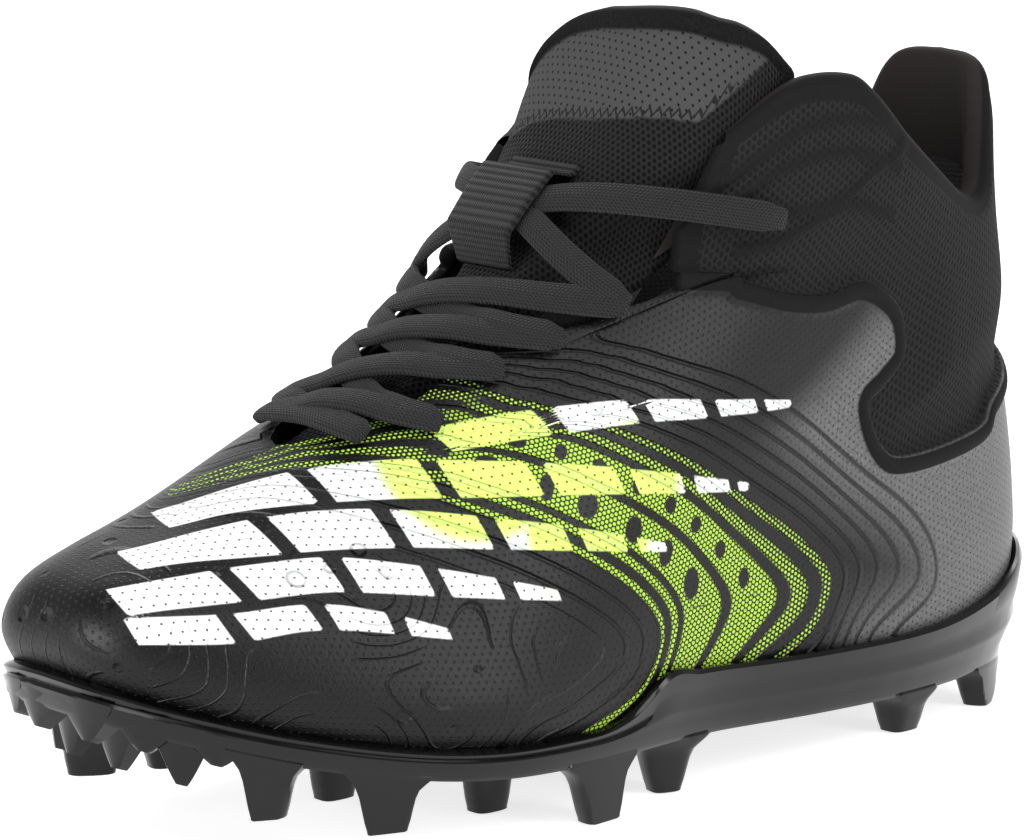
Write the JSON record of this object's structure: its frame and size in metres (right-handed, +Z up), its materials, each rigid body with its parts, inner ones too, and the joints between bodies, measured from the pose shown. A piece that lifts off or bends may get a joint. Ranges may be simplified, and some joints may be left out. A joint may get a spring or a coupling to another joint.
{
  "type": "lacrosse cleat",
  "caption": "Left lacrosse cleat with a padded ankle cuff, stiff synthetic shell, padded tongue under crossed laces, and a moulded sole plate with blade studs.",
  "frame": {"origin": "on the floor under the middle of the shoe's bounding box", "axes": "+Z up, toe towards -Y, outer side of the left shoe towards +X"},
  "size_m": [0.0978, 0.2764, 0.1734],
  "materials": {
    "upper": "matt black synthetic shell and knitted mesh cuff",
    "outsole": "glossy black moulding",
    "insole": "brushed textile",
    "tongue": "open black mesh over foam",
    "lace": "flat woven cord",
    "webbing": "ribbed webbing"
  },
  "bodies": {
    "root": {"upper": "upper", "outsole": "outsole", "insole": "insole", "tongue": "tongue", "lace": "lace", "lace_loop": "webbing"}
  },
  "joints": []
}
